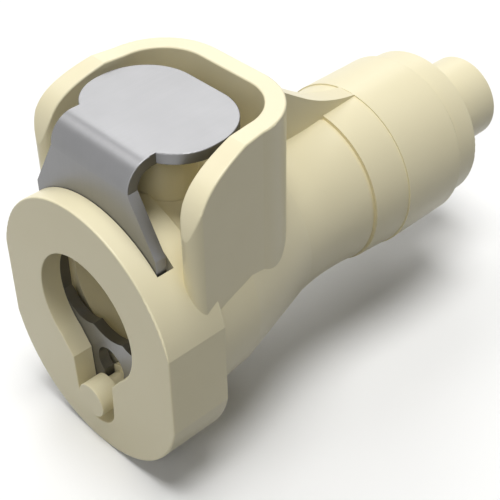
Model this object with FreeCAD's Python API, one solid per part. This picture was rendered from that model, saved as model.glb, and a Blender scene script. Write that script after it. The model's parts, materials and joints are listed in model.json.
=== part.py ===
import FreeCAD, Part
import math
import os

V = FreeCAD.Vector

# In-line quick disconnect coupling socket with a thumb latch. Millimetres.
# Everything is drawn with the mouth's face on y = 0, the flow axis along +Y and the
# thumb latch up (+Z). The finished solids are moved so that the row's origin is the
# middle of the tail spigot.

# Lengths along the flow axis, and the stations they give
RING_T = 1.56
SLOT_DEPTH = 1.29
COLLAR_LEN = 4.73
SHELL_LEN = 30.51
FLANGE_T = 2.41
SPIGOT_LEN = 5.64
SLOT_BACK_Y = RING_T + SLOT_DEPTH
FLANGE_END_Y = SHELL_LEN + FLANGE_T
TAIL_END_Y = FLANGE_END_Y + SPIGOT_LEN
ORIGIN_Y = FLANGE_END_Y + SPIGOT_LEN / 2

# Clearances
PLATE_GAP = 0.04
PLATE_SIDE_GAP = 0.15
PIN_GAP = 0.06
PIN_WINDOW_GAP = 0.07
CAP_GAP = 0.08
CAP_FLOOR_GAP = 0.10
PLUG_GAP = 0.05
STEM_GAP = 0.07
SEAT_GAP = 0.04
SPRING_GAP = 0.02
SEAL_GAP = 0.01
GROOVE_SIDE_GAP = 0.05
LIP_GAP = 0.06
OVERSHOOT = 1.0

# Edges, and how near an edge's middle lies to the face that it is looked for on
MOULD_EDGE_R = 0.12
MOUTH_EDGE_R = 0.08
SHEET_EDGE_R = 0.06
NEAR = 0.01

# Collar: a round top, two side flats and a round bottom set lower
COLLAR_R = 8.77
COLLAR_DROP = 2.63
COLLAR_FLAT_DEPTH = 0.20
COLLAR_HALF_W = COLLAR_R - COLLAR_FLAT_DEPTH
COLLAR_LOW_Z = -COLLAR_DROP - COLLAR_R

# Barrel: a short cone, a steeper one, a hollow waist, and a sleeve with a fine groove
NECK_R = 8.40
SHOULDER_Y = 8.20
SHOULDER_R = 8.04
FLARE_END_Y = 14.85
FLARE_END_R = 6.21
WAIST_Y = 17.90
WAIST_R = 5.95
GROOVE_Y = 21.16
GROOVE_W = 0.30
GROOVE_DEPTH = 0.12
BAND_FRONT_R = 6.15
BAND_R = 6.30
STEP_Y = 24.70
STEP_R = 6.50
SLEEVE_R = 6.60
SLEEVE_END_R = 6.57

# Bores of the moulded shell
BORE_R = 4.75
BORE_LEN = 9.8
THROAT_R = 3.2
THROAT_LEN = 2.6
CHAMBER_R = 4.6
CHAMBER_END_Y = 22.0
SOCKET_R = 5.45
SEAT_Y = BORE_LEN + THROAT_LEN

# Latch plate: sheet, width, travel and the bend up to the pad
PLATE_T = 0.80
PLATE_HALF_W = 5.95
LATCH_TRAVEL = 2.10
TIP_R = 8.70
TIP_INSET = 0.17
BEND_R = 1.90
NECK_HALF_W = 3.76
SHOULDER_Z = 7.35
RAIL_W = 1.0
RAIL_TOP_Z = 3.0
PLATE_FRONT_Y = RING_T + PLATE_GAP
PLATE_BACK_Y = PLATE_FRONT_Y + PLATE_T
RAIL_Y = PLATE_BACK_Y + PLATE_GAP
SLOT_HALF_W = PLATE_HALF_W + PLATE_SIDE_GAP
PLATE_LOW_Z = COLLAR_LOW_Z + TIP_INSET + LATCH_TRAVEL

# Latch window: its lower lip has a round middle between two side scallops
WINDOW_SIDE_GAP = 0.07
WINDOW_TOP_Z = 5.20
WINDOW_RISE = 2.0
WINDOW_SIDE_Z = -1.40
WINDOW_CHAMFER_W = 0.40
WINDOW_CHAMFER_H = 0.35
CUSP_X = 1.55
LIP_DIP = 0.40
SCALLOP_X = 3.05
SCALLOP_DIP = 0.23
WINDOW_HALF_W = BORE_R + WINDOW_SIDE_GAP
CUSP_Z = LATCH_TRAVEL - LIP_GAP - math.sqrt(BORE_R ** 2 - CUSP_X ** 2)

# Thumb pad: two front corners and two fuller rear corners
PAD_TOP_Z = 13.04
PAD_HALF_W = 3.70
PAD_FRONT_X = 2.15
PAD_FRONT_Y = 7.05
PAD_FRONT_R = 3.42
PAD_REAR_X = 1.67
PAD_REAR_Y = 7.40
PAD_REAR_R = 3.90
PAD_FLOOR_Z = PAD_TOP_Z - PLATE_T

# Thumb guard: a horseshoe wall whose arms spread towards the front
GUARD_TOP_Z = 13.48
GUARD_FOOT_Z = 1.5
GUARD_T = 1.36
GUARD_CORNER_X = 2.35
GUARD_CORNER_Y = 9.50
GUARD_CORNER_R = 4.76
HORN_Y = 3.62
HORN_NOSE = 0.74
HORN_OUT_X = 8.14
HORN_IN_X = 6.40
RIM_LEVEL_Y = 7.85
RIM_END_Y = 2.70
RIM_END_DROP = 5.88

# Rib behind the guard
RIB_HALF_W = 0.74
RIB_TOP_DROP = 0.58
RIB_END_Y = 24.74
RIB_END_Z = 6.56
RIB_SAG_Y = 19.8
RIB_SAG_Z = 8.38
RIB_HOLLOW = 0.12
RIB_TAIL_HOLLOW = 0.28
RIB_FOOT_Z = 5.5

# Lock pin below the mouth, its notch in the ring and its bore
PIN_RISE = 4.05
PIN_Z = COLLAR_LOW_Z + PIN_RISE
PIN_R = 1.30
PIN_OUT = 0.39
PIN_HEAD_LEN = 1.60
PIN_NECK_R = 0.78
PIN_END_Y = 6.2
PIN_NOSE_R = 0.70
PIN_NOSE_LEN = 1.2
PIN_BORE_END_Y = 10.6
PIN_BOSS_WALL = 0.94
PIN_BOSS_TIP_R = 1.2
PIN_BOSS_TIP_LEN = 2.0
PIN_BORE_R = PIN_R + PIN_GAP
PIN_HOLE_R = PIN_R + PIN_WINDOW_GAP
PIN_SLOT_HALF_W = PIN_NECK_R + PIN_WINDOW_GAP
KEY_HALF_W = 1.97
KEY_DROP = 0.05
KEY_STEP_HALF_W = 2.08
KEY_STEP_Z = -4.90
KEY_TOP_HALF_W = 3.10
KEY_TOP_Z = -math.sqrt(BORE_R ** 2 - KEY_TOP_HALF_W ** 2)

# Spring cap under the thumb pad and its well in the shell
CAP_Y = 6.85
CAP_R = 2.70
CAP_WALL = 0.70
WELL_FLOOR_T = 0.55
WELL_R = CAP_R + CAP_GAP
WELL_FLOOR_Z = BORE_R + WELL_FLOOR_T
CAP_FOOT_Z = WELL_FLOOR_Z + LATCH_TRAVEL + CAP_FLOOR_GAP

# Valve: poppet with its face seal, and the guide that carries its stem
POPPET_NOSE_Y = 10.0
POPPET_NOSE_R = 1.60
POPPET_NOSE_CHAMFER = 0.25
LIP_R = 2.75
LIP_T = 0.17
POPPET_HEAD_R = 4.0
POPPET_HEAD_T = 1.20
POPPET_CHAMFER = 0.30
COLLET_R = 1.90
COLLET_LEN = 0.70
STEM_R = 1.20
STEM_LEN = 9.40
VALVE_SEAL_R = 3.13
VALVE_SEAL_T = 0.54
GUIDE_T = 1.36
GUIDE_HUB_R = 2.20
GUIDE_HUB_LEN = 1.80
FLOW_HOLES = 6
FLOW_HOLE_R = 0.95
FLOW_CIRCLE_R = 3.90
GUIDE_Y = CHAMBER_END_Y + SEAT_GAP
GUIDE_BACK_Y = GUIDE_Y + GUIDE_T
VALVE_SEAL_Y = SEAT_Y + VALVE_SEAL_R - THROAT_R + (VALVE_SEAL_T + SEAL_GAP) * math.sqrt(2)
POPPET_GROOVE_Y = VALVE_SEAL_Y - VALVE_SEAL_T - GROOVE_SIDE_GAP
POPPET_HEAD_Y = VALVE_SEAL_Y + VALVE_SEAL_T + GROOVE_SIDE_GAP
POPPET_BACK_Y = POPPET_HEAD_Y + POPPET_HEAD_T + POPPET_CHAMFER

# Tail fitting: plug with its seal, end flange, spigot and through bore
TAIL_SEAL_T = 0.60
TAIL_SEAL_Y = 27.95
SOCKET_SEAL_GAP = 0.025
FLANGE_R = 6.12
FLANGE_TAPER = 0.05
SPIGOT_R = 3.40
TAIL_BORE_R = 2.0
PLUG_CUP_R = 4.10
PLUG_CUP_LEN = 2.50
PLUG_CONE_LEN = 1.20
PLUG_R = SOCKET_R - PLUG_GAP
PLUG_FRONT_Y = GUIDE_BACK_Y + PLUG_GAP
TAIL_SEAL_R = SOCKET_R - SOCKET_SEAL_GAP - TAIL_SEAL_T

# Coil springs: mean radius, wire radius and working turns
LATCH_COIL_R = 1.55
LATCH_WIRE_R = 0.20
PIN_COIL_R = 0.98
PIN_WIRE_R = 0.14
VALVE_COIL_R = 2.60
VALVE_WIRE_R = 0.26
CLOSED_TURN_GAP = 0.05
LATCH_COIL_TURNS = 4
PIN_COIL_TURNS = 5
VALVE_COIL_TURNS = 3

OUT = os.path.join(os.path.dirname(os.path.abspath(__file__)), "parts")
os.makedirs(OUT, exist_ok=True)


def rod(r, y0, y1, x=0.0, z=0.0):
    """Cylinder along Y."""
    return Part.makeCylinder(r, y1 - y0, V(x, y0, z), V(0, 1, 0))


def post(r, z0, z1, y):
    """Cylinder along Z on the middle plane."""
    return Part.makeCylinder(r, z1 - z0, V(0, y, z0), V(0, 0, 1))


def block(half_w, y0, y1, z0, z1):
    """Box across the middle plane."""
    return Part.makeBox(2 * half_w, y1 - y0, z1 - z0, V(-half_w, y0, z0))


def line(a, b):
    return Part.makeLine(V(*a), V(*b))


def arc(a, b, c):
    return Part.Arc(V(*a), V(*b), V(*c)).toShape()


def spline(points):
    curve = Part.BSplineCurve()
    curve.interpolate([V(*p) for p in points])
    return curve.toShape()


def face_of(edges):
    return Part.Face(Part.Wire(Part.__sortEdges__(edges)))


def turned(points):
    """Revolve an outline of (y, r) stations about the flow axis.
    A station with a third value is the middle of an arc to the next one."""
    stations = points + points[:1]
    edges = []
    i = 0
    while i < len(stations) - 1:
        a, b = stations[i], stations[i + 1]
        if len(b) == 3:
            c = stations[i + 2]
            edges.append(arc((0, a[0], a[1]), (0, b[0], b[1]), (0, c[0], c[1])))
            i += 2
        else:
            edges.append(line((0, a[0], a[1]), (0, b[0], b[1])))
            i += 1
    return Part.Face(Part.Wire(edges)).revolve(V(0, 0, 0), V(0, 1, 0), 360)


def rounded(shape, radius, chosen):
    """Fillet the edges that the test chooses by their middle point."""
    edges = []
    for e in shape.Edges:
        middle = e.valueAt((e.FirstParameter + e.LastParameter) / 2)
        if chosen(middle, e):
            edges.append(e)
    return shape.makeFillet(radius, edges)


def seal_ring(y, r, tube):
    """O-ring about the flow axis."""
    return Part.makeTorus(r, tube, V(0, y, 0), V(0, 1, 0))


def coil(mean_r, wire_r, turns, length, base, along_y):
    """Compression spring with a closed turn at each end, standing at base.
    Each half turn is an arc tilted about Y, so the wire stays smooth where they meet."""
    closed = 2 * wire_r + CLOSED_TURN_GAP
    pitch = (length - 2 * wire_r - 2 * closed) / turns
    rises = [closed / 2] * 2 + [pitch / 2] * (2 * turns) + [closed / 2] * 2
    z = wire_r
    side = 1
    arcs = []
    for rise in rises:
        reach = math.hypot(mean_r, rise / 2)
        arcs.append(arc((side * mean_r, 0, z), (0, side * reach, z + rise / 2),
                        (-side * mean_r, 0, z + rise)))
        z += rise
        side = -side
    section = Part.Wire(Part.makeCircle(wire_r, V(mean_r, 0, wire_r), V(0, 1, 0)))
    spring = Part.Wire(arcs).makePipeShell([section], True, False)
    if along_y:
        spring.rotate(V(0, 0, 0), V(1, 0, 0), -90)
    spring.translate(V(*base))
    return spring


def make_collar():
    """Collar at the mouth, extruded along the flow axis with its edges eased."""
    w = COLLAR_HALF_W
    rise = math.sqrt(COLLAR_R ** 2 - w ** 2)
    low = -COLLAR_DROP - rise
    outline = face_of([
        arc((-w, 0, rise), (0, 0, COLLAR_R), (w, 0, rise)),
        line((w, 0, rise), (w, 0, low)),
        arc((w, 0, low), (0, 0, COLLAR_LOW_Z), (-w, 0, low)),
        line((-w, 0, low), (-w, 0, rise)),
    ])
    collar = outline.extrude(V(0, COLLAR_LEN, 0))
    return rounded(collar, MOULD_EDGE_R, lambda m, e: m.y < NEAR or m.y > COLLAR_LEN - NEAR)


def make_barrel():
    """Round body behind the collar."""
    barrel = turned([
        (SLOT_BACK_Y, 0), (SLOT_BACK_Y, NECK_R), (COLLAR_LEN, NECK_R), (SHOULDER_Y, SHOULDER_R),
        (FLARE_END_Y, FLARE_END_R), (WAIST_Y, WAIST_R, 0), (GROOVE_Y, BAND_FRONT_R),
        (GROOVE_Y, BAND_FRONT_R - GROOVE_DEPTH), (GROOVE_Y + GROOVE_W, BAND_FRONT_R - GROOVE_DEPTH),
        (GROOVE_Y + GROOVE_W, BAND_R), (STEP_Y, STEP_R), (STEP_Y, SLEEVE_R),
        (SHELL_LEN, SLEEVE_END_R), (SHELL_LEN, 0),
    ])
    return rounded(barrel, MOULD_EDGE_R, lambda m, e: m.y > SHELL_LEN - NEAR)


def keyhole_cut():
    """The notch that runs down from the bore, with its two small facets."""
    y = -OVERSHOOT
    w = KEY_HALF_W
    z = PIN_Z - KEY_DROP
    edges = [line((-KEY_TOP_HALF_W, y, KEY_TOP_Z), (KEY_TOP_HALF_W, y, KEY_TOP_Z)),
             arc((w, y, z), (0, y, z - w), (-w, y, z))]
    for s in (1, -1):
        edges.append(line((s * KEY_TOP_HALF_W, y, KEY_TOP_Z), (s * KEY_STEP_HALF_W, y, KEY_STEP_Z)))
        edges.append(line((s * KEY_STEP_HALF_W, y, KEY_STEP_Z), (s * w, y, z)))
    return face_of(edges).extrude(V(0, OVERSHOOT + PLATE_FRONT_Y, 0))


def make_guard():
    """Horseshoe wall round the thumb pad, open to the front."""
    cx, cy, z = GUARD_CORNER_X, GUARD_CORNER_Y, GUARD_FOOT_Z
    nose = ((HORN_OUT_X + HORN_IN_X) / 2, HORN_Y - HORN_NOSE)
    half = math.sqrt(0.5)
    edges = []
    for s in (1, -1):
        edges.append(arc((s * HORN_OUT_X, HORN_Y, z), (s * nose[0], nose[1], z),
                         (s * HORN_IN_X, HORN_Y, z)))
        for r, horn_x in ((GUARD_CORNER_R, HORN_OUT_X), (GUARD_CORNER_R - GUARD_T, HORN_IN_X)):
            edges.append(line((s * horn_x, HORN_Y, z), (s * (cx + r), cy, z)))
            edges.append(arc((s * (cx + r), cy, z), (s * (cx + r * half), cy + r * half, z),
                             (s * cx, cy + r, z)))
    for r in (GUARD_CORNER_R, GUARD_CORNER_R - GUARD_T):
        edges.append(line((-cx, cy + r, z), (cx, cy + r, z)))
    wall = face_of(edges).extrude(V(0, 0, GUARD_TOP_Z + OVERSHOOT - z))
    # Seen from the side the rim is level at the back and curves down to the two horns.
    x = -HORN_OUT_X - OVERSHOOT
    back = cy + GUARD_CORNER_R + OVERSHOOT
    reach = RIM_LEVEL_Y - RIM_END_Y
    shape = ((0, 0), (0.456, 0.133), (0.748, 0.311), (0.903, 0.558), (0.951, 0.711), (1, 1))
    rim = [(x, RIM_LEVEL_Y - u * reach, GUARD_TOP_Z - v * RIM_END_DROP) for u, v in shape]
    side = face_of([
        line((x, back, GUARD_TOP_Z), rim[0]),
        spline(rim),
        line(rim[-1], (x, RIM_END_Y, 0)),
        line((x, RIM_END_Y, 0), (x, back, 0)),
        line((x, back, 0), (x, back, GUARD_TOP_Z)),
    ])
    guard = wall.common(side.extrude(V(-2 * x, 0, 0))).Solids[0]
    return rounded(guard, MOULD_EDGE_R,
                   lambda m, e: m.z > GUARD_TOP_Z - NEAR or "BSpline" in e.Curve.TypeId)


def make_rib():
    """Rib from the guard's back wall down to the step of the barrel."""
    x = -RIB_HALF_W
    front = GUARD_CORNER_Y + GUARD_CORNER_R - GUARD_T / 2
    top = GUARD_TOP_Z - RIB_TOP_DROP
    side = face_of([
        line((x, front, RIB_FOOT_Z), (x, front, top)),
        arc((x, front, top), (x, (front + RIB_SAG_Y) / 2, (top + RIB_SAG_Z) / 2 - RIB_HOLLOW),
            (x, RIB_SAG_Y, RIB_SAG_Z)),
        arc((x, RIB_SAG_Y, RIB_SAG_Z),
            (x, (RIB_SAG_Y + RIB_END_Y) / 2, (RIB_SAG_Z + RIB_END_Z) / 2 - RIB_TAIL_HOLLOW),
            (x, RIB_END_Y, RIB_END_Z)),
        line((x, RIB_END_Y, RIB_END_Z), (x, RIB_END_Y, RIB_FOOT_Z)),
        line((x, RIB_END_Y, RIB_FOOT_Z), (x, front, RIB_FOOT_Z)),
    ])
    return side.extrude(V(2 * RIB_HALF_W, 0, 0))


def pin_boss():
    """Boss under the barrel that carries the lock pin's bore."""
    r = PIN_BORE_R + PIN_BOSS_WALL
    boss = turned([
        (SLOT_BACK_Y, 0), (SLOT_BACK_Y, r), (PIN_BORE_END_Y, r),
        (PIN_BORE_END_Y + PIN_BOSS_TIP_LEN, PIN_BOSS_TIP_R),
        (PIN_BORE_END_Y + PIN_BOSS_TIP_LEN, 0),
    ])
    boss.translate(V(0, 0, PIN_Z))
    return boss


def latch_slot():
    """The plate's slot, open above and below, with two rails behind it low down."""
    low = COLLAR_LOW_Z - OVERSHOOT
    high = COLLAR_R + OVERSHOOT
    slot = block(SLOT_HALF_W, RING_T, RAIL_Y, low, high)
    middle = block(SLOT_HALF_W - RAIL_W, RING_T, SLOT_BACK_Y, low, high)
    relief = block(SLOT_HALF_W, RING_T, SLOT_BACK_Y, RAIL_TOP_Z, high)
    return slot.fuse([middle, relief])


def make_shell():
    """Moulded coupling body: collar, barrel, thumb guard, rib and pin boss in one piece."""
    body = make_collar().fuse([make_barrel(), pin_boss(), make_guard(), make_rib()])
    flow = turned([
        (-OVERSHOOT, 0), (-OVERSHOOT, BORE_R), (BORE_LEN, BORE_R), (BORE_LEN, THROAT_R),
        (SEAT_Y, THROAT_R), (SEAT_Y + CHAMBER_R - THROAT_R, CHAMBER_R),
        (CHAMBER_END_Y, CHAMBER_R), (CHAMBER_END_Y, SOCKET_R), (SHELL_LEN + OVERSHOOT, SOCKET_R),
        (SHELL_LEN + OVERSHOOT, 0),
    ])
    pin_bore = rod(PIN_BORE_R, RING_T, PIN_BORE_END_Y, 0, PIN_Z)
    well = post(WELL_R, WELL_FLOOR_Z, GUARD_TOP_Z, CAP_Y)
    shell = body.cut([flow, keyhole_cut(), latch_slot(), pin_bore, well]).removeSplitter()
    # The mouth's edges, the ones on the front face that lie inside its rounded outline
    inner_w = COLLAR_HALF_W - 2 * MOULD_EDGE_R
    inner_low = COLLAR_LOW_Z + 2 * MOULD_EDGE_R
    inner_top = COLLAR_R - 2 * MOULD_EDGE_R
    return rounded(shell, MOUTH_EDGE_R, lambda m, e: (
        abs(m.y) < NEAR and abs(m.x) < inner_w and inner_low < m.z < inner_top))


def make_tail():
    """Rear fitting: plug in the socket, end flange and plain spigot, bored through."""
    groove_r = TAIL_SEAL_R - TAIL_SEAL_T - SEAL_GAP
    groove_half = TAIL_SEAL_T + GROOVE_SIDE_GAP
    cup_end = PLUG_FRONT_Y + PLUG_CUP_LEN
    tail = turned([
        (PLUG_FRONT_Y, PLUG_CUP_R), (PLUG_FRONT_Y, PLUG_R),
        (TAIL_SEAL_Y - groove_half, PLUG_R), (TAIL_SEAL_Y - groove_half, groove_r),
        (TAIL_SEAL_Y + groove_half, groove_r), (TAIL_SEAL_Y + groove_half, PLUG_R),
        (SHELL_LEN, PLUG_R), (SHELL_LEN, FLANGE_R), (FLANGE_END_Y, FLANGE_R - FLANGE_TAPER),
        (FLANGE_END_Y, SPIGOT_R), (TAIL_END_Y, SPIGOT_R), (TAIL_END_Y, TAIL_BORE_R),
        (cup_end + PLUG_CONE_LEN, TAIL_BORE_R), (cup_end, PLUG_CUP_R),
    ])
    rim_len = 2 * math.pi * (FLANGE_R - FLANGE_TAPER) - NEAR
    return rounded(tail, MOULD_EDGE_R, lambda m, e: m.y > FLANGE_END_Y - NEAR and e.Length > rim_len)


def plate_blank():
    """Front view of the latch plate below its bend, as a solid."""
    y = PLATE_FRONT_Y
    w = PLATE_HALF_W
    neck_z = PAD_TOP_Z - BEND_R
    tip_c = PLATE_LOW_Z + TIP_R
    low = tip_c - math.sqrt(TIP_R ** 2 - w ** 2)
    edges = [arc((w, y, low), (0, y, PLATE_LOW_Z), (-w, y, low)),
             line((-NECK_HALF_W, y, neck_z), (NECK_HALF_W, y, neck_z))]
    for s in (1, -1):
        edges += [
            line((s * NECK_HALF_W, y, neck_z), (s * w, y, SHOULDER_Z)),
            line((s * w, y, SHOULDER_Z), (s * w, y, low)),
        ]
    return face_of(edges).extrude(V(0, PLATE_T, 0))


def latch_window():
    """Cutter for the window that the mating insert passes through."""
    y = PLATE_FRONT_Y - OVERSHOOT
    w = WINDOW_HALF_W
    in_x = w - WINDOW_CHAMFER_W
    in_z = WINDOW_SIDE_Z - WINDOW_CHAMFER_H
    edges = [
        arc((-w, y, WINDOW_TOP_Z), (0, y, WINDOW_TOP_Z + WINDOW_RISE), (w, y, WINDOW_TOP_Z)),
        arc((-CUSP_X, y, CUSP_Z), (0, y, CUSP_Z - LIP_DIP), (CUSP_X, y, CUSP_Z)),
    ]
    for s in (1, -1):
        edges += [
            line((s * w, y, WINDOW_TOP_Z), (s * w, y, WINDOW_SIDE_Z)),
            line((s * w, y, WINDOW_SIDE_Z), (s * in_x, y, in_z)),
            arc((s * in_x, y, in_z), (s * SCALLOP_X, y, CUSP_Z - SCALLOP_DIP),
                (s * CUSP_X, y, CUSP_Z)),
        ]
    return face_of(edges).extrude(V(0, PLATE_T + 2 * OVERSHOOT, 0))


def pin_window():
    """Cutter for the pin's window: round above, narrow below for the pin's neck."""
    y0 = PLATE_FRONT_Y - OVERSHOOT
    y1 = PLATE_BACK_Y + OVERSHOOT
    hole = rod(PIN_HOLE_R, y0, y1, 0, PIN_Z + LATCH_TRAVEL)
    slot = block(PIN_SLOT_HALF_W, y0, y1, PIN_Z, PIN_Z + LATCH_TRAVEL)
    return hole.fuse([slot, rod(PIN_SLOT_HALF_W, y0, y1, 0, PIN_Z)])


def thumb_pad():
    """Rounded pad and the quarter bend that joins it to the plate."""
    z = PAD_FLOOR_Z
    bend_y = PLATE_FRONT_Y + BEND_R
    half = PAD_HALF_W
    step = half - PAD_FRONT_X
    front_y = PAD_FRONT_Y - math.sqrt(PAD_FRONT_R ** 2 - step ** 2)
    turn = math.atan2(front_y - PAD_FRONT_Y, step) / 2
    front_mid = (PAD_FRONT_X + PAD_FRONT_R * math.cos(turn), PAD_FRONT_Y + PAD_FRONT_R * math.sin(turn))
    diagonal = PAD_REAR_R * math.sqrt(0.5)
    front_side = PAD_FRONT_X + PAD_FRONT_R
    rear_side = PAD_REAR_X + PAD_REAR_R
    back = PAD_REAR_Y + PAD_REAR_R
    edges = [line((-half, bend_y, z), (half, bend_y, z)),
             line((-PAD_REAR_X, back, z), (PAD_REAR_X, back, z))]
    for s in (1, -1):
        edges += [
            line((s * half, bend_y, z), (s * half, front_y, z)),
            arc((s * half, front_y, z), (s * front_mid[0], front_mid[1], z),
                (s * front_side, PAD_FRONT_Y, z)),
            line((s * front_side, PAD_FRONT_Y, z), (s * rear_side, PAD_REAR_Y, z)),
            arc((s * rear_side, PAD_REAR_Y, z),
                (s * (PAD_REAR_X + diagonal), PAD_REAR_Y + diagonal, z),
                (s * PAD_REAR_X, back, z)),
        ]
    pad = face_of(edges).extrude(V(0, 0, PLATE_T))
    bend_z = PAD_TOP_Z - BEND_R
    sheet = Part.makeCylinder(BEND_R, 2 * NECK_HALF_W, V(-NECK_HALF_W, bend_y, bend_z), V(1, 0, 0))
    hollow = Part.makeCylinder(BEND_R - PLATE_T, 2 * NECK_HALF_W + 2 * OVERSHOOT,
                               V(-NECK_HALF_W - OVERSHOOT, bend_y, bend_z), V(1, 0, 0))
    quarter = block(NECK_HALF_W + OVERSHOOT, PLATE_FRONT_Y - OVERSHOOT, bend_y, bend_z,
                    PAD_TOP_Z + OVERSHOOT)
    return pad.fuse(sheet.cut(hollow).common(quarter))


def make_latch():
    blank = plate_blank().fuse(thumb_pad()).removeSplitter().Solids[0]
    # The pad's edges above and below, which are all longer than the sheet is thick
    eased = rounded(blank, SHEET_EDGE_R, lambda m, e: (
        m.z > PAD_FLOOR_Z - NEAR and e.Length > PLATE_T + NEAR))
    return eased.cut([latch_window(), pin_window()])


def make_cap():
    """Plastic cap under the pad: it holds the latch spring and slides in the well."""
    outer = post(CAP_R, CAP_FOOT_Z, PAD_FLOOR_Z, CAP_Y)
    hollow = post(CAP_R - CAP_WALL, CAP_FOOT_Z - OVERSHOOT, PAD_FLOOR_Z - CAP_WALL, CAP_Y)
    return outer.cut(hollow)


def make_pin():
    """Lock pin: head in the notch, neck in the plate's slot, shank in the body."""
    head_back = PIN_HEAD_LEN - PIN_OUT
    pin = turned([
        (-PIN_OUT, 0), (-PIN_OUT, PIN_R), (head_back, PIN_R), (head_back, PIN_NECK_R),
        (RAIL_Y, PIN_NECK_R), (RAIL_Y, PIN_R), (PIN_END_Y, PIN_R), (PIN_END_Y, PIN_NOSE_R),
        (PIN_END_Y + PIN_NOSE_LEN, PIN_NOSE_R), (PIN_END_Y + PIN_NOSE_LEN, 0),
    ])
    pin.translate(V(0, 0, PIN_Z))
    return rounded(pin, SHEET_EDGE_R, lambda m, e: m.y < 0)


def make_poppet():
    """Valve poppet: front nose, head with a seal groove, rear stem."""
    y = POPPET_NOSE_Y
    lip_y = POPPET_GROOVE_Y - LIP_T
    groove_r = VALVE_SEAL_R - VALVE_SEAL_T - SEAL_GAP
    back = POPPET_BACK_Y
    return turned([
        (y, 0), (y, POPPET_NOSE_R - POPPET_NOSE_CHAMFER), (y + POPPET_NOSE_CHAMFER, POPPET_NOSE_R),
        (lip_y - LIP_T, POPPET_NOSE_R), (lip_y, LIP_R), (POPPET_GROOVE_Y, LIP_R),
        (POPPET_GROOVE_Y, groove_r), (POPPET_HEAD_Y, groove_r), (POPPET_HEAD_Y, POPPET_HEAD_R),
        (back - POPPET_CHAMFER, POPPET_HEAD_R), (back, POPPET_HEAD_R - POPPET_CHAMFER),
        (back, COLLET_R), (back + COLLET_LEN, COLLET_R), (back + COLLET_LEN, STEM_R),
        (back + STEM_LEN, STEM_R), (back + STEM_LEN, 0),
    ])


def make_guide():
    """Valve guide: disc with flow holes and a bushing for the stem."""
    bush_r = STEM_R + STEM_GAP
    disc = turned([
        (GUIDE_Y, bush_r), (GUIDE_Y, PLUG_R), (GUIDE_BACK_Y, PLUG_R), (GUIDE_BACK_Y, GUIDE_HUB_R),
        (GUIDE_BACK_Y + GUIDE_HUB_LEN, GUIDE_HUB_R), (GUIDE_BACK_Y + GUIDE_HUB_LEN, bush_r),
    ])
    holes = []
    for i in range(FLOW_HOLES):
        a = 2 * math.pi * i / FLOW_HOLES
        holes.append(rod(FLOW_HOLE_R, GUIDE_Y - OVERSHOOT, GUIDE_BACK_Y + OVERSHOOT,
                         FLOW_CIRCLE_R * math.cos(a), FLOW_CIRCLE_R * math.sin(a)))
    return disc.cut(holes)


def make_latch_spring():
    foot = WELL_FLOOR_Z + SPRING_GAP
    top = PAD_FLOOR_Z - CAP_WALL - SPRING_GAP
    return coil(LATCH_COIL_R, LATCH_WIRE_R, LATCH_COIL_TURNS, top - foot, (0, CAP_Y, foot), False)


def make_pin_spring():
    front = PIN_END_Y + SPRING_GAP
    length = PIN_BORE_END_Y - SPRING_GAP - front
    return coil(PIN_COIL_R, PIN_WIRE_R, PIN_COIL_TURNS, length, (0, front, PIN_Z), True)


def make_valve_spring():
    front = POPPET_BACK_Y + SPRING_GAP
    length = GUIDE_Y - SPRING_GAP - front
    return coil(VALVE_COIL_R, VALVE_WIRE_R, VALVE_COIL_TURNS, length, (0, front, 0), True)


def make_parts():
    return {
        "coupling_body": make_shell(),
        "tail_fitting": make_tail(),
        "tail_seal": seal_ring(TAIL_SEAL_Y, TAIL_SEAL_R, TAIL_SEAL_T),
        "latch_plate": make_latch(),
        "spring_cap": make_cap(),
        "latch_spring": make_latch_spring(),
        "lock_pin": make_pin(),
        "lock_pin_spring": make_pin_spring(),
        "valve_poppet": make_poppet(),
        "valve_seal": seal_ring(VALVE_SEAL_Y, VALVE_SEAL_R, VALVE_SEAL_T),
        "valve_spring": make_valve_spring(),
        "valve_guide": make_guide(),
    }


if __name__ == "__main__":
    for name, shape in make_parts().items():
        if shape.ShapeType != "Solid":
            shape = shape.Solids[0]
        shape.translate(V(0, -ORIGIN_Y, 0))
        shape.exportStep(os.path.join(OUT, name + ".step"))
        b = shape.BoundBox
        print(name, shape.isValid(), round(shape.Volume, 3), round(b.XMin, 2), round(b.XMax, 2),
              round(b.YMin, 2), round(b.YMax, 2), round(b.ZMin, 2), round(b.ZMax, 2))
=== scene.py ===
import json
import math

import bpy
from mathutils import Matrix, Vector


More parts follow.
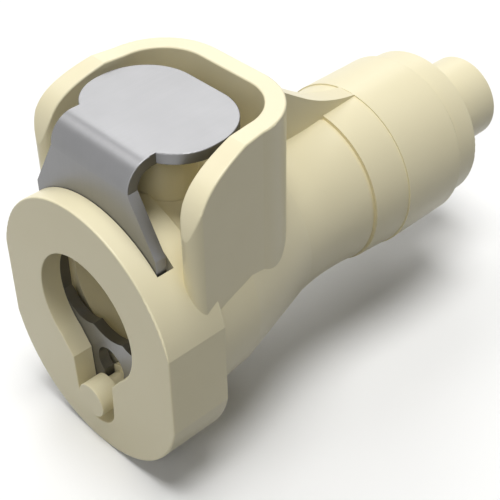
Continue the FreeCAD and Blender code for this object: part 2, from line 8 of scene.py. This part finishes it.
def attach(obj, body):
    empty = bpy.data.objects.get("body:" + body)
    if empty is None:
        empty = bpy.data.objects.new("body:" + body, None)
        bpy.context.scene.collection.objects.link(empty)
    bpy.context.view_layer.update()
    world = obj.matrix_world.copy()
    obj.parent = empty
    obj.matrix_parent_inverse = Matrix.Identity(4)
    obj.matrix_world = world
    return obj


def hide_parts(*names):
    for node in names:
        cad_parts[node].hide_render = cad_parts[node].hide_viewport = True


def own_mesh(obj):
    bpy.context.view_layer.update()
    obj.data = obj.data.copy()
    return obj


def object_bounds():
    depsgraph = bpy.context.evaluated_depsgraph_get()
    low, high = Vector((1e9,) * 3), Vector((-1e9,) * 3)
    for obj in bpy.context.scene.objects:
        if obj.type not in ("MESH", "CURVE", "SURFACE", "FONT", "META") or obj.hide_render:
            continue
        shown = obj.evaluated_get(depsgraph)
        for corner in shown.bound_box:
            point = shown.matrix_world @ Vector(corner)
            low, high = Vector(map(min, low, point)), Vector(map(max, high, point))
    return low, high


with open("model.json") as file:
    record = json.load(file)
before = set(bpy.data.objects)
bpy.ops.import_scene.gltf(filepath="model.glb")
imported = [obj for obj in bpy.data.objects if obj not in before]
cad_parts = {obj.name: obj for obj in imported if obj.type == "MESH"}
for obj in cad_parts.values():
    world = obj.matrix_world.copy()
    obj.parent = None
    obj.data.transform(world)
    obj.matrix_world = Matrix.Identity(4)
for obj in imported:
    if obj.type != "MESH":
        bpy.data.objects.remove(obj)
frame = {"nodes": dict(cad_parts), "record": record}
cad_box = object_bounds()

MM = 0.001
NODES = frame["nodes"]

# Camera: the photograph's viewing angle in degrees, with the aim point at the picture's centre
CAMERA_AZIMUTH = 47.27
CAMERA_ELEVATION = 39.05
CAMERA_ROLL = -1.216
CAMERA_AIM = Vector((8.807, -29.055, 7.072)) * MM
CAMERA_DISTANCE = 76.23 * MM
CAMERA_LENS = 90.42
CAMERA_NEAR = 1 * MM
CAMERA_FAR = 10.0
SENSOR_WIDTH = 36.0

# Floor: nearly white where it is looked at, a mid grey for the light it throws on the part
FLOOR_HALF = 900 * MM
FLOOR_SEEN = "#FAFAF9"
FLOOR_AS_LIGHT = "#787877"
FLOOR_ROUGHNESS = 0.9

# World: white where it is looked at, faint as a light
WHITE = (1, 1, 1, 1)
WORLD_SEEN = 1.0
WORLD_AS_LIGHT = 0.04

# Lamps: the direction each shines from, its strength and its spread in degrees. The key is
# overhead, for the thumb pad and the upper rims. The front lamp stands near the camera's side, the
# fill is low before the mouth, for the collar, and the side and rim lamps are above on the left,
# for the bend of the plate and the inside of the guard.
LAMPS = {
    "key": {"source": (0.04, 0.00, 1.00), "strength": 2.16, "spread": 30.0},
    "front": {"source": (0.52, -0.58, 0.63), "strength": 0.42, "spread": 24.0},
    "fill": {"source": (-0.10, -0.93, 0.36), "strength": 0.43, "spread": 50.0},
    "side": {"source": (-0.58, -0.18, 0.79), "strength": 0.36, "spread": 26.0},
    "rim": {"source": (-0.58, 0.46, 0.67), "strength": 0.66, "spread": 32.0},
}

# Patterns: how much fine structure the noise has, and how deep the skin's relief is
SOFT_DETAIL = 2.0
FINE_DETAIL = 3.0
RELIEF_DEPTH = 0.01 * MM


def linear(hex_colour):
    """sRGB hex to the linear colour that Blender's sockets take."""
    out = []
    for i in (1, 3, 5):
        c = int(hex_colour[i:i + 2], 16) / 255
        out.append(c / 12.92 if c <= 0.04045 else ((c + 0.055) / 1.055) ** 2.4)
    return (*out, 1.0)


def plug(tree, node, inputs):
    """Link each input of a node to the given socket, or set it to the given value."""
    for socket, source in inputs.items():
        if isinstance(source, bpy.types.NodeSocket):
            tree.links.new(source, node.inputs[socket])
        else:
            node.inputs[socket].default_value = source


def add(tree, kind, inputs=None, **settings):
    """Add a node, set its properties and plug its inputs."""
    node = tree.nodes.new(kind)
    for name, value in settings.items():
        setattr(node, name, value)
    plug(tree, node, inputs or {})
    return node


def noise(tree, place, size, detail):
    """Noise from 0 to 1, in lumps of the given size."""
    node = add(tree, "ShaderNodeTexNoise", {"Vector": place, "Scale": 1 / size, "Detail": detail})
    return node.outputs["Fac"]


def mixed_colour(tree, share, first, second):
    """A colour between two sRGB hex colours. The mix node keeps separate sockets for each type
    of data, and the numbers are those of its share, its two colours and its colour result."""
    inputs = {0: share, 6: linear(first), 7: linear(second)}
    return add(tree, "ShaderNodeMix", inputs, data_type="RGBA").outputs[2]


def between(tree, share, limits):
    """A value between two limits."""
    low, high = limits
    node = add(tree, "ShaderNodeMapRange", {"Value": share, "To Min": low, "To Max": high})
    return node.outputs["Result"]


def relief(tree, height, strength):
    """The normal of a skin with fine relief."""
    inputs = {"Height": height, "Strength": strength, "Distance": RELIEF_DEPTH}
    return add(tree, "ShaderNodeBump", inputs).outputs["Normal"]


def object_place(tree):
    """The place on the object, in its own metres."""
    return add(tree, "ShaderNodeTexCoord").outputs["Object"]


def new_material(name):
    """An empty node material, its tree and its Principled shader."""
    material = bpy.data.materials.new(name)
    material.use_nodes = True
    tree = material.node_tree
    tree.nodes.clear()
    shader = add(tree, "ShaderNodeBsdfPrincipled")
    add(tree, "ShaderNodeOutputMaterial", {"Surface": shader.outputs["BSDF"]})
    return material, tree, shader


def moulded_acetal(name, base, shade):
    """Acetal copolymer, injection moulded and unpainted: an even colour with a soft waxy sheen,
    a faint cloudiness from the flow of the melt and the fine spark-eroded skin of the tool."""
    cloud_size = 5.0 * MM
    skin_size = 0.16 * MM
    skin_strength = 0.12
    roughness = (0.30, 0.38)
    acetal_ior = 1.48
    material, tree, shader = new_material(name)
    place = object_place(tree)
    cloud = noise(tree, place, cloud_size, SOFT_DETAIL)
    skin = noise(tree, place, skin_size, FINE_DETAIL)
    plug(tree, shader, {
        "Base Color": mixed_colour(tree, cloud, base, shade),
        "Roughness": between(tree, skin, roughness),
        "Normal": relief(tree, skin, skin_strength),
        "IOR": acetal_ior,
    })
    return material


def satin_stainless():
    """Stainless strip, pressed and tumbled: a neutral grey with fine rolling lines that run
    along the strip, which spread the highlight across the bend."""
    line_spacing = 0.10 * MM
    line_length = 6.0 * MM
    patch_size = 3.0 * MM
    line_strength = 0.10
    roughness = (0.30, 0.42)
    material, tree, shader = new_material("satin stainless strip")
    place = object_place(tree)
    line_scale = (1 / line_spacing, 1 / line_length, 1 / line_length)
    drawn_out = add(tree, "ShaderNodeMapping", {"Vector": place, "Scale": line_scale})
    # The mapping already holds the size of the lines, so their noise has a size of one
    lines = noise(tree, drawn_out.outputs["Vector"], 1.0, FINE_DETAIL)
    patch = noise(tree, place, patch_size, SOFT_DETAIL)
    plug(tree, shader, {
        "Base Color": mixed_colour(tree, patch, "#888889", "#7F7F80"),
        "Roughness": between(tree, lines, roughness),
        "Normal": relief(tree, lines, line_strength),
        "Metallic": 1.0,
    })
    return material


def drawn_spring_wire():
    """Stainless music wire, drawn and coiled: brighter than the strip, with fine draw marks."""
    mark_size = 0.12 * MM
    roughness = (0.22, 0.36)
    material, tree, shader = new_material("drawn spring wire")
    marks = noise(tree, object_place(tree), mark_size, SOFT_DETAIL)
    plug(tree, shader, {
        "Base Color": mixed_colour(tree, marks, "#B4B2AE", "#A09E9B"),
        "Roughness": between(tree, marks, roughness),
        "Metallic": 1.0,
    })
    return material


def nitrile_seal():
    """Nitrile rubber O-ring, moulded: near black with a dry bloom."""
    bloom_size = 0.5 * MM
    roughness = (0.50, 0.70)
    nitrile_ior = 1.52
    material, tree, shader = new_material("nitrile rubber")
    bloom = noise(tree, object_place(tree), bloom_size, FINE_DETAIL)
    plug(tree, shader, {
        "Base Color": mixed_colour(tree, bloom, "#1A1A1B", "#2A2A2A"),
        "Roughness": between(tree, bloom, roughness),
        "IOR": nitrile_ior,
    })
    return material


def dress_nodes():
    """Give every CAD node the finish of its slot."""
    finishes = {
        "shell_plastic": moulded_acetal("cream moulded acetal", "#F2E9C6", "#EDE3BD"),
        "latch_steel": satin_stainless(),
        "spring_steel": drawn_spring_wire(),
        "seal_rubber": nitrile_seal(),
        "valve_plastic": moulded_acetal("white moulded acetal", "#EFEBDD", "#E6E1D0"),
    }
    for part in frame["record"]["subparts"]:
        node = NODES[part["node"]]
        node.data.materials.clear()
        node.data.materials.append(finishes[part["material_slot"]])


def put_in_scene(obj):
    """Link an object into the scene."""
    bpy.context.scene.collection.objects.link(obj)


def make_coils():
    """Copies of the coil springs' own meshes in their place, each attached to the body, with its
    CAD node hidden."""
    for joint in frame["record"]["behaviour"]["joints"]:
        for spring in joint["deforming_nodes"]:
            name = spring["node"]
            coil = bpy.data.objects.new(name.replace("spring", "coil"), NODES[name].data.copy())
            put_in_scene(coil)
            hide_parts(name)
            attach(coil, "body")
            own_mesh(coil)


def seen_directly(tree):
    """1 for what the camera, gloss and glass look at, 0 for light that only lands on the part."""
    path = add(tree, "ShaderNodeLightPath")
    seen = path.outputs["Is Camera Ray"]
    for ray in ("Is Glossy Ray", "Is Transmission Ray"):
        either = add(tree, "ShaderNodeMath", {0: seen, 1: path.outputs[ray]}, operation="MAXIMUM")
        seen = either.outputs[0]
    return seen


def make_floor():
    """Plain pale floor under the object's lowest point."""
    z = cad_box[0].z
    h = FLOOR_HALF
    corners = [(-h, -h, z), (h, -h, z), (h, h, z), (-h, h, z)]
    mesh = bpy.data.meshes.new("floor")
    mesh.from_pydata(corners, [], [(0, 1, 2, 3)])
    floor = bpy.data.objects.new("floor", mesh)
    put_in_scene(floor)
    material, tree, shader = new_material("matt white board")
    seen = seen_directly(tree)
    plug(tree, shader, {
        "Base Color": mixed_colour(tree, seen, FLOOR_AS_LIGHT, FLOOR_SEEN),
        "Roughness": FLOOR_ROUGHNESS,
    })
    mesh.materials.append(material)


def make_world():
    """White to the eye and to gloss, faint as light on the object."""
    world = bpy.data.worlds.new("studio")
    bpy.context.scene.world = world
    world.use_nodes = True
    tree = world.node_tree
    tree.nodes.clear()
    seen = seen_directly(tree)
    light = add(tree, "ShaderNodeBackground", {"Color": WHITE, "Strength": WORLD_AS_LIGHT})
    white = add(tree, "ShaderNodeBackground", {"Color": WHITE, "Strength": WORLD_SEEN})
    both = add(tree, "ShaderNodeMixShader", {0: seen, 1: light.outputs[0], 2: white.outputs[0]})
    add(tree, "ShaderNodeOutputWorld", {"Surface": both.outputs[0]})


def make_lamp(name, source, strength, spread):
    """A large soft lamp far away in the given direction."""
    lamp = bpy.data.lights.new(name, "SUN")
    lamp.energy = strength
    lamp.angle = math.radians(spread)
    obj = bpy.data.objects.new(name, lamp)
    obj.rotation_mode = "QUATERNION"
    obj.rotation_quaternion = Vector(source).to_track_quat("Z", "Y")
    put_in_scene(obj)


def make_camera():
    """The photograph's camera: a long lens from the front right, above."""
    yaw = math.radians(CAMERA_AZIMUTH)
    pitch = math.radians(CAMERA_ELEVATION)
    roll = math.radians(CAMERA_ROLL)
    level = math.cos(pitch)
    back = Vector((math.sin(yaw) * level, -math.cos(yaw) * level, math.sin(pitch)))
    right = Vector((0, 0, 1)).cross(back).normalized()
    up = back.cross(right)
    turned_right = right * math.cos(roll) + up * math.sin(roll)
    turned_up = up * math.cos(roll) - right * math.sin(roll)
    rotation = Matrix((turned_right, turned_up, back)).transposed().to_4x4()
    data = bpy.data.cameras.new("camera")
    data.lens = CAMERA_LENS
    data.sensor_width = SENSOR_WIDTH
    data.clip_start = CAMERA_NEAR
    data.clip_end = CAMERA_FAR
    camera = bpy.data.objects.new("camera", data)
    camera.matrix_world = Matrix.Translation(CAMERA_AIM + back * CAMERA_DISTANCE) @ rotation
    put_in_scene(camera)
    bpy.context.scene.camera = camera


make_camera()
make_world()
make_floor()
for lamp_name, lamp in LAMPS.items():
    make_lamp(lamp_name, **lamp)
dress_nodes()
make_coils()
bpy.context.scene.view_settings.view_transform = "Standard"
